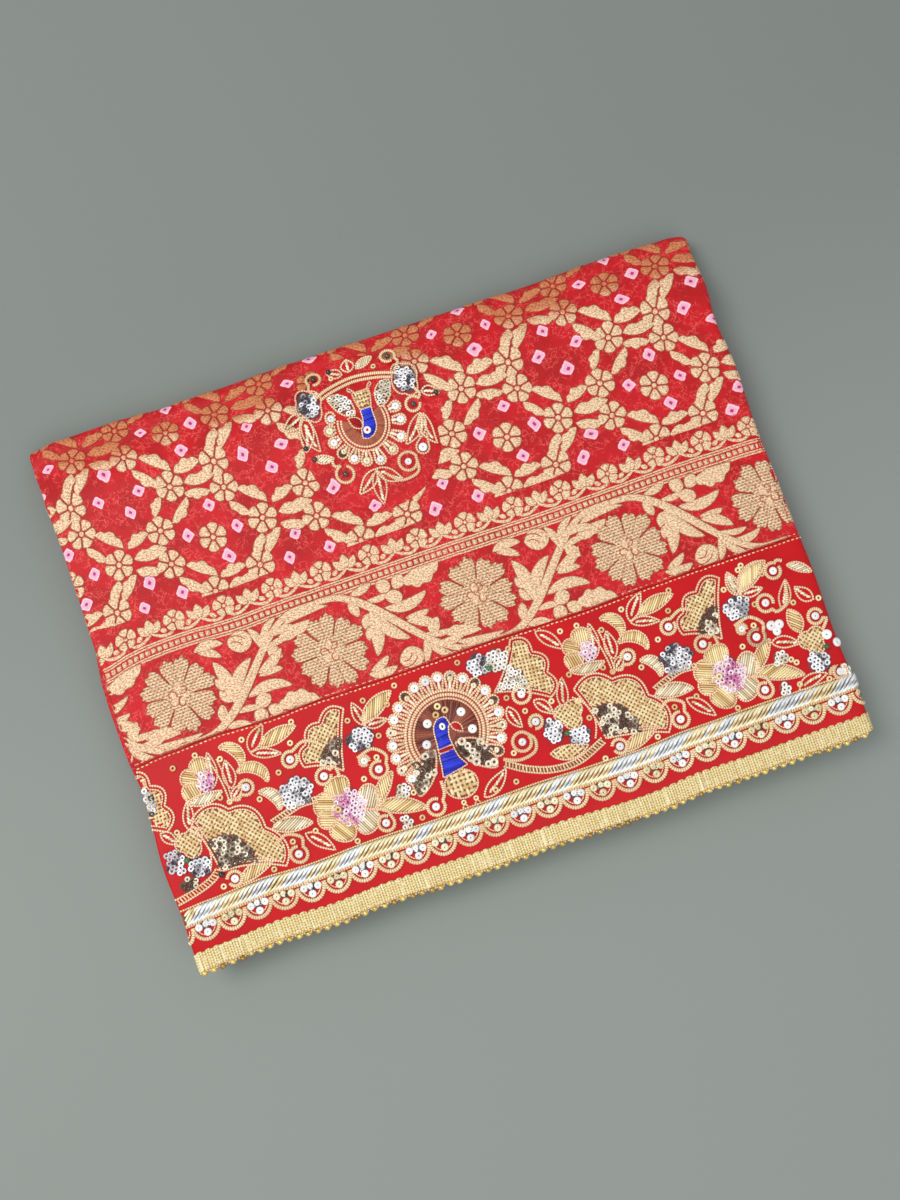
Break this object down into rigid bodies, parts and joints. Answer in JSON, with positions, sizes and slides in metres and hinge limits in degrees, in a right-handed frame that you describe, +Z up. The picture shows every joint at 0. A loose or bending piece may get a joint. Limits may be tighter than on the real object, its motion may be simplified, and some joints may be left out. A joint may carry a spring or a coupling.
{
  "type": "odhni",
  "caption": "Red silk odhni with gold brocade, tie-dyed diamonds, an embroidered satin end and a beaded lace hem, folded to a flat packet.",
  "frame": {"origin": "centre of the packet's box, on the surface that it rests on", "axes": "+X along the hem, -Y towards the hem with the lace, +Y towards the back fold, +Z up out of the showing ply"},
  "size_m": [0.4236, 0.3256, 0.0305],
  "materials": {
    "red_silk": "satin",
    "red_satin": "satin",
    "gold_lace": "satin",
    "gold_rope": "satin",
    "red_patch": "satin"
  },
  "bodies": {
    "root": {"cloth": "red_silk", "band": "red_satin", "lace": "gold_lace", "rope": "gold_rope", "butta": "red_patch"}
  },
  "joints": []
}
